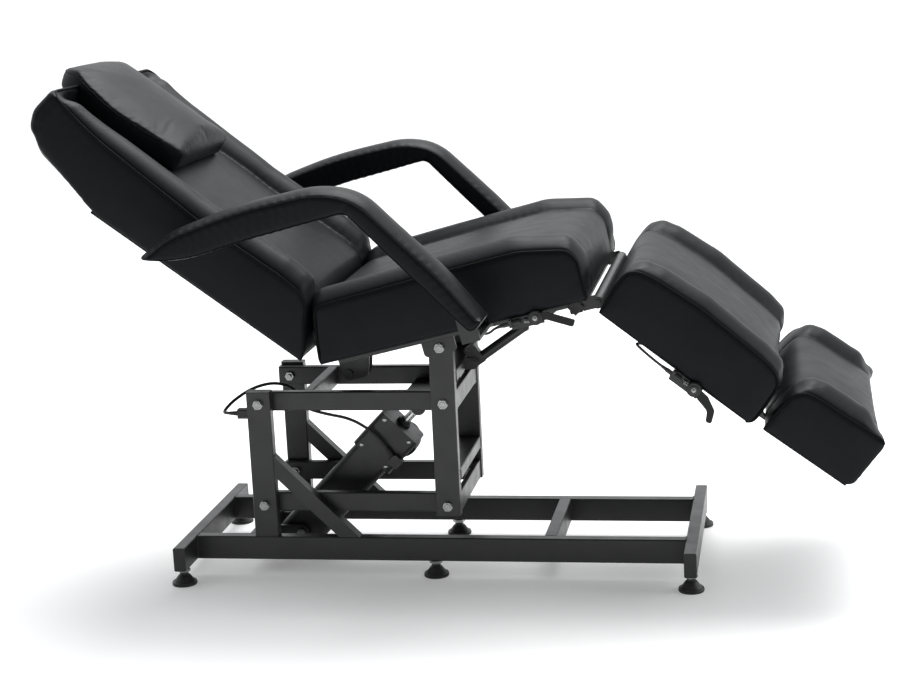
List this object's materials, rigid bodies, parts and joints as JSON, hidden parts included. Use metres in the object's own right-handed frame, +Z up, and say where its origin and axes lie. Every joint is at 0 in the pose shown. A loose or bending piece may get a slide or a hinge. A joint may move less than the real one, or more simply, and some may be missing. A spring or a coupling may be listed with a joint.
{
  "type": "facial treatment bed",
  "caption": "Padded treatment bed on a parallelogram lift with electric actuator, reclining backrest, leg and foot rest, bent armrests and a head pillow.",
  "frame": {"origin": "on the floor, under the centre of the whole bed's box", "axes": "+X towards the foot end, +Y to the sitter's left, +Z up"},
  "size_m": [1.6288, 0.896, 1.0594],
  "materials": {
    "frame_steel": "satin black powder coat",
    "upholstery": "soft black artificial leather, fine grain",
    "panel_board": "black-stained plywood",
    "zinc_fasteners": "zinc-plated",
    "bright_rod": "polished",
    "black_plastic": "moulded, fine matt texture",
    "actuator_black": "moulded, matt",
    "lever_black": "black painted, semi-gloss",
    "cable_rubber": "smooth sheath"
  },
  "bodies": {
    "base": {"base_rail_right": "frame_steel", "base_rail_left": "frame_steel", "base_crossbar_head": "frame_steel", "base_crossbar_foot": "frame_steel", "base_crossbar_middle": "frame_steel", "actuator_crossbar": "frame_steel", "rear_upright_right": "frame_steel", "rear_upright_left": "frame_steel", "base_brace_right": "frame_steel", "base_brace_left": "frame_steel", "levelling_feet": "black_plastic", "tube_end_plugs": "black_plastic", "base_pivot_bolts": "zinc_fasteners", "motor_cable": "cable_rubber", "cable_connector": "black_plastic"},
    "upper_arms": {"upper_arm_right": "frame_steel", "upper_arm_left": "frame_steel", "upper_arm_rear_crossbar": "frame_steel", "upper_arm_front_bar": "frame_steel", "actuator_top_bracket": "frame_steel"},
    "lower_arms": {"lower_arm_right": "frame_steel", "lower_arm_left": "frame_steel", "lower_arm_front_bar": "frame_steel"},
    "lift_head": {"front_upright_right": "frame_steel", "front_upright_left": "frame_steel", "front_crossbar_upper": "frame_steel", "front_crossbar_lower": "frame_steel", "front_pivot_bolts": "zinc_fasteners"},
    "actuator_body": {"actuator_housing": "actuator_black", "actuator_motor": "actuator_black", "actuator_spindle": "zinc_fasteners"},
    "actuator_rod": {"actuator_rod": "bright_rod"},
    "seat": {"seat_rail_right": "frame_steel", "seat_rail_left": "frame_steel", "seat_crossbar_rear": "frame_steel", "seat_crossbar_front": "frame_steel", "seat_panel": "panel_board", "seat_cushion": "upholstery", "armrest_brackets": "frame_steel", "armrest_pad_right": "upholstery", "armrest_pad_left": "upholstery", "tilt_lever_mount": "frame_steel", "tilt_release_cable": "cable_rubber"},
    "tilt_lever": {"tilt_lever": "lever_black"},
    "tilt_strut_body": {"tilt_strut_body": "frame_steel"},
    "tilt_strut_rod": {"tilt_strut_rod": "bright_rod"},
    "backrest": {"backrest_panel": "panel_board", "backrest_cushion": "upholstery", "headrest_pillow": "upholstery", "backrest_brackets": "frame_steel"},
    "back_strut_body": {"back_strut_body": "frame_steel"},
    "back_strut_rod": {"back_strut_rod": "bright_rod"},
    "legrest": {"legrest_frame": "frame_steel", "legrest_panel": "panel_board", "legrest_cushion": "upholstery", "leg_release_cable": "cable_rubber"},
    "leg_lever": {"leg_lever": "lever_black"},
    "footrest": {"footrest_frame": "frame_steel", "footrest_panel": "panel_board", "footrest_cushion": "upholstery"}
  },
  "joints": [
    {"name": "lift", "type": "hinge", "parent": "base", "child": "upper_arms", "pos_m": [-0.43347, 0, 0.366], "axis": [0, -1, 0], "range_deg": [0, 38]},
    {"name": "lower_arm_swing", "type": "hinge", "parent": "base", "child": "lower_arms", "pos_m": [-0.43347, 0, 0.152], "axis": [0, -1, 0], "range_deg": [0, 38]},
    {"name": "head_level", "type": "hinge", "parent": "upper_arms", "child": "lift_head", "pos_m": [-0.04847, 0, 0.366], "axis": [0, -1, 0], "range_deg": [-38, 0]},
    {"name": "actuator_swing", "type": "hinge", "parent": "base", "child": "actuator_body", "pos_m": [-0.38747, 0, 0.06], "axis": [0, -1, 0], "range_deg": [0, 18.97], "deforming": ["motor_cable"]},
    {"name": "actuator_extend", "type": "slide", "parent": "actuator_body", "child": "actuator_rod", "axis": [0.7009, 0, 0.7133], "range_m": [0, 0.14601]},
    {"name": "seat_tilt", "type": "hinge", "parent": "lift_head", "child": "seat", "pos_m": [-0.04897, 0, 0.483], "axis": [0, -1, 0], "range_deg": [-13, 3], "deforming": ["tilt_release_cable"]},
    {"name": "tilt_strut_swing", "type": "hinge", "parent": "lift_head", "child": "tilt_strut_body", "pos_m": [-0.00747, 0, 0.418], "axis": [0, -1, 0], "range_deg": [-13.38, 3.09]},
    {"name": "tilt_strut_extend", "type": "slide", "parent": "tilt_strut_body", "child": "tilt_strut_rod", "axis": [0.824, 0, 0.5666], "range_m": [-0.0175, 0.00412]},
    {"name": "tilt_lever_pull", "type": "hinge", "parent": "seat", "child": "tilt_lever", "pos_m": [0.16653, -0.3, 0.571], "axis": [0, -1, 0], "range_deg": [0, 18], "stiffness_Nm_per_rad": 1.5, "springref_deg": -5.73},
    {"name": "back_recline", "type": "hinge", "parent": "seat", "child": "backrest", "pos_m": [-0.27747, 0, 0.482], "axis": [0, 1, 0], "range_deg": [-49, 8]},
    {"name": "back_strut_swing", "type": "hinge", "parent": "seat", "child": "back_strut_body", "pos_m": [-0.28247, 0, 0.432], "axis": [0, 1, 0], "range_deg": [-47.18, 7.71]},
    {"name": "back_strut_extend", "type": "slide", "parent": "back_strut_body", "child": "back_strut_rod", "axis": [-0.7779, 0, 0.6284], "range_m": [-0.04029, 0.00666]},
    {"name": "leg_raise", "type": "hinge", "parent": "seat", "child": "legrest", "pos_m": [0.28053, 0, 0.59], "axis": [0, -1, 0], "range_deg": [-10, 48]},
    {"name": "leg_lever_pull", "type": "hinge", "parent": "legrest", "child": "leg_lever", "pos_m": [0.46153, -0.3, 0.43], "axis": [0, -1, 0], "range_deg": [0, 18], "stiffness_Nm_per_rad": 1.5, "springref_deg": -5.73},
    {"name": "foot_tilt", "type": "hinge", "parent": "legrest", "child": "footrest", "pos_m": [0.57753, 0, 0.36], "axis": [0, -1, 0], "range_deg": [-15, 15]}
  ],
  "couplings": [
    {"joint": "lower_arm_swing", "follows": "lift", "ratio": 1},
    {"joint": "head_level", "follows": "lift", "ratio": -1},
    {"joint": "actuator_swing", "follows": "lift", "ratio": 0.4989},
    {"joint": "actuator_extend", "follows": "lift", "m_per_rad": 0.22},
    {"joint": "tilt_strut_swing", "follows": "seat_tilt", "ratio": 1.0281},
    {"joint": "tilt_strut_extend", "follows": "seat_tilt", "m_per_rad": 0.0767},
    {"joint": "back_strut_swing", "follows": "back_recline", "ratio": 0.9627},
    {"joint": "back_strut_extend", "follows": "back_recline", "m_per_rad": 0.047}
  ]
}
